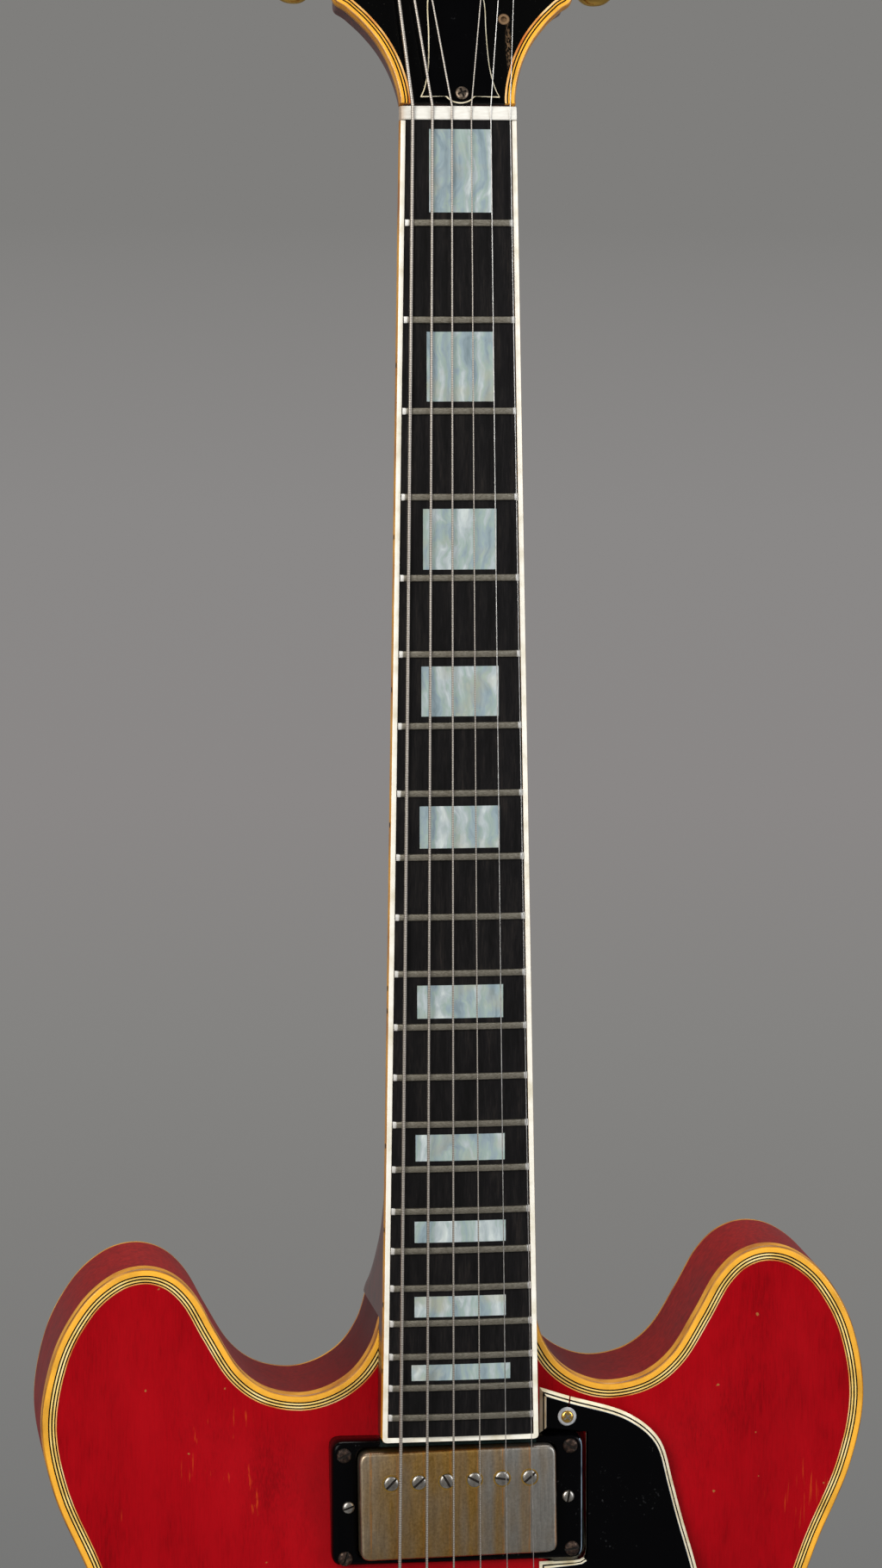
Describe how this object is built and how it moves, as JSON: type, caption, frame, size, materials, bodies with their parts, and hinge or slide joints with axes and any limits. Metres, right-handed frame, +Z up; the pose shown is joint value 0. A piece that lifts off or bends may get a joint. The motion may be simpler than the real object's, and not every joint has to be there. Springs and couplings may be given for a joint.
{
  "type": "semi-hollow electric guitar",
  "caption": "Thin double-cutaway semi-hollow guitar with bound arched top, block-inlaid neck, covered pickups, vibrato tailpiece and rotary tone selector.",
  "frame": {"origin": "on the neck's centre line at the front of the nut, half way through the neck's depth, where a wall hanger's yoke holds it", "axes": "+Z up along the neck, -Y out of the front of the guitar, +X towards the treble side"},
  "size_m": [0.4064, 0.132, 1.065],
  "materials": {
    "cherry_top": "transparent cherry lacquer over maple ply, gloss, worn",
    "cherry_body": "cherry lacquer, browner on the sides and back",
    "block_maple": "bare maple",
    "aged_binding": "yellowed multi-ply binding",
    "neck_wood": "cherry lacquer over mahogany",
    "ebony": "oiled, with nickel-silver frets",
    "ivory": "ivory plastic",
    "steel": "polished steel",
    "black": "black gloss, fine scratches",
    "bone": "polished bone",
    "gold": "gold plate, worn",
    "worn_metal": "plating worn down to nickel",
    "knob": "translucent black-amber plastic"
  },
  "bodies": {
    "instrument": {"body_top": "cherry_top", "body_sides": "cherry_body", "body_back": "cherry_body", "centre_block": "block_maple", "top_binding": "aged_binding", "back_binding": "aged_binding", "headstock_binding": "aged_binding", "neck": "neck_wood", "fingerboard": "ebony", "fingerboard_binding": "ivory", "truss_rod": "steel", "vibrato_spring": "steel", "string_1": "steel", "string_2": "steel", "string_3": "steel", "string_4": "steel", "string_5": "steel", "string_6": "steel", "headstock_veneer": "black", "truss_rod_cover": "black", "neck_pickup_ring": "black", "bridge_pickup_ring": "black", "pickguard": "black", "nut": "bone", "tuner_housing_1": "gold", "tuner_housing_2": "gold", "tuner_housing_3": "gold", "tuner_housing_4": "gold", "tuner_housing_5": "gold", "tuner_housing_6": "gold", "bridge_post_bass": "gold", "bridge_post_treble": "gold", "switch_bush": "gold", "output_jack": "gold", "strap_button_end": "gold", "strap_button_heel": "gold", "tailpiece_frame": "gold", "neck_pickup": "worn_metal", "bridge_pickup": "worn_metal", "bridge": "worn_metal"},
    "key_1": {"tuner_key_1": "gold"},
    "post_1": {"tuner_post_1": "gold"},
    "key_2": {"tuner_key_2": "gold"},
    "post_2": {"tuner_post_2": "gold"},
    "key_3": {"tuner_key_3": "gold"},
    "post_3": {"tuner_post_3": "gold"},
    "key_4": {"tuner_key_4": "gold"},
    "post_4": {"tuner_post_4": "gold"},
    "key_5": {"tuner_key_5": "gold"},
    "post_5": {"tuner_post_5": "gold"},
    "key_6": {"tuner_key_6": "gold"},
    "post_6": {"tuner_post_6": "gold"},
    "volume_knob_neck": {"volume_knob_neck": "knob"},
    "tone_knob_neck": {"tone_knob_neck": "knob"},
    "volume_knob_bridge": {"volume_knob_bridge": "knob"},
    "tone_knob_bridge": {"tone_knob_bridge": "knob"},
    "selector_knob": {"selector_knob": "black"},
    "switch_lever": {"pickup_switch": "ivory"},
    "vibrato_shaft": {"vibrato_shaft": "steel"},
    "vibrato_arm": {"vibrato_arm": "steel"}
  },
  "joints": [
    {"name": "key_1_turn", "type": "hinge", "parent": "instrument", "child": "key_1", "pos_m": [-0.025, 0.0296, 0.04902], "axis": [-1, 0, 0], "continuous": true},
    {"name": "post_1_turn", "type": "hinge", "parent": "instrument", "child": "post_1", "pos_m": [-0.025, 0.0125, 0.06267], "axis": [0, -0.9367, 0.3502], "continuous": true},
    {"name": "key_2_turn", "type": "hinge", "parent": "instrument", "child": "key_2", "pos_m": [-0.025, 0.04326, 0.08555], "axis": [-1, 0, 0], "continuous": true},
    {"name": "post_2_turn", "type": "hinge", "parent": "instrument", "child": "post_2", "pos_m": [-0.025, 0.02616, 0.0992], "axis": [0, -0.9367, 0.3502], "continuous": true},
    {"name": "key_3_turn", "type": "hinge", "parent": "instrument", "child": "key_3", "pos_m": [-0.025, 0.05692, 0.12208], "axis": [-1, 0, 0], "continuous": true},
    {"name": "post_3_turn", "type": "hinge", "parent": "instrument", "child": "post_3", "pos_m": [-0.025, 0.03981, 0.13573], "axis": [0, -0.9367, 0.3502], "continuous": true},
    {"name": "key_4_turn", "type": "hinge", "parent": "instrument", "child": "key_4", "pos_m": [0.025, 0.05692, 0.12208], "axis": [1, 0, 0], "continuous": true},
    {"name": "post_4_turn", "type": "hinge", "parent": "instrument", "child": "post_4", "pos_m": [0.025, 0.03981, 0.13573], "axis": [0, -0.9367, 0.3502], "continuous": true},
    {"name": "key_5_turn", "type": "hinge", "parent": "instrument", "child": "key_5", "pos_m": [0.025, 0.04326, 0.08555], "axis": [1, 0, 0], "continuous": true},
    {"name": "post_5_turn", "type": "hinge", "parent": "instrument", "child": "post_5", "pos_m": [0.025, 0.02616, 0.0992], "axis": [0, -0.9367, 0.3502], "continuous": true},
    {"name": "key_6_turn", "type": "hinge", "parent": "instrument", "child": "key_6", "pos_m": [0.025, 0.0296, 0.04902], "axis": [1, 0, 0], "continuous": true},
    {"name": "post_6_turn", "type": "hinge", "parent": "instrument", "child": "post_6", "pos_m": [0.025, 0.0125, 0.06267], "axis": [0, -0.9367, 0.3502], "continuous": true},
    {"name": "volume_knob_neck_turn", "type": "hinge", "parent": "instrument", "child": "volume_knob_neck", "pos_m": [0.116, -0.03326, -0.722], "axis": [0, -1, 0], "range_deg": [0, 290]},
    {"name": "tone_knob_neck_turn", "type": "hinge", "parent": "instrument", "child": "tone_knob_neck", "pos_m": [0.16, -0.02893, -0.744], "axis": [0, -1, 0], "range_deg": [0, 290]},
    {"name": "volume_knob_bridge_turn", "type": "hinge", "parent": "instrument", "child": "volume_knob_bridge", "pos_m": [0.094, -0.0333, -0.768], "axis": [0, -1, 0], "range_deg": [0, 290]},
    {"name": "tone_knob_bridge_turn", "type": "hinge", "parent": "instrument", "child": "tone_knob_bridge", "pos_m": [0.138, -0.03006, -0.79], "axis": [0, -1, 0], "range_deg": [0, 290]},
    {"name": "selector_turn", "type": "hinge", "parent": "instrument", "child": "selector_knob", "pos_m": [0.136, -0.02514, -0.664], "axis": [0, -1, 0], "range_deg": [-75, 75]},
    {"name": "pickup_switch_tilt", "type": "hinge", "parent": "instrument", "child": "switch_lever", "pos_m": [0.168, -0.02397, -0.7], "axis": [1, 0, 0], "range_deg": [-11, 11]},
    {"name": "vibrato_rock", "type": "hinge", "parent": "instrument", "child": "vibrato_shaft", "pos_m": [0.0015, -0.0428, -0.738], "axis": [1, 0, 0], "range_deg": [-6, 4], "stiffness_Nm_per_rad": 12, "deforming": ["vibrato_spring"]},
    {"name": "vibrato_arm_swing", "type": "hinge", "parent": "vibrato_shaft", "child": "vibrato_arm", "pos_m": [0.0525, -0.0503, -0.721], "axis": [0, 1, 0], "range_deg": [-8, 110]}
  ],
  "couplings": [
    {"joint": "post_1_turn", "follows": "key_1_turn", "ratio": -0.071429},
    {"joint": "post_2_turn", "follows": "key_2_turn", "ratio": -0.071429},
    {"joint": "post_3_turn", "follows": "key_3_turn", "ratio": -0.071429},
    {"joint": "post_4_turn", "follows": "key_4_turn", "ratio": 0.071429},
    {"joint": "post_5_turn", "follows": "key_5_turn", "ratio": 0.071429},
    {"joint": "post_6_turn", "follows": "key_6_turn", "ratio": 0.071429}
  ]
}
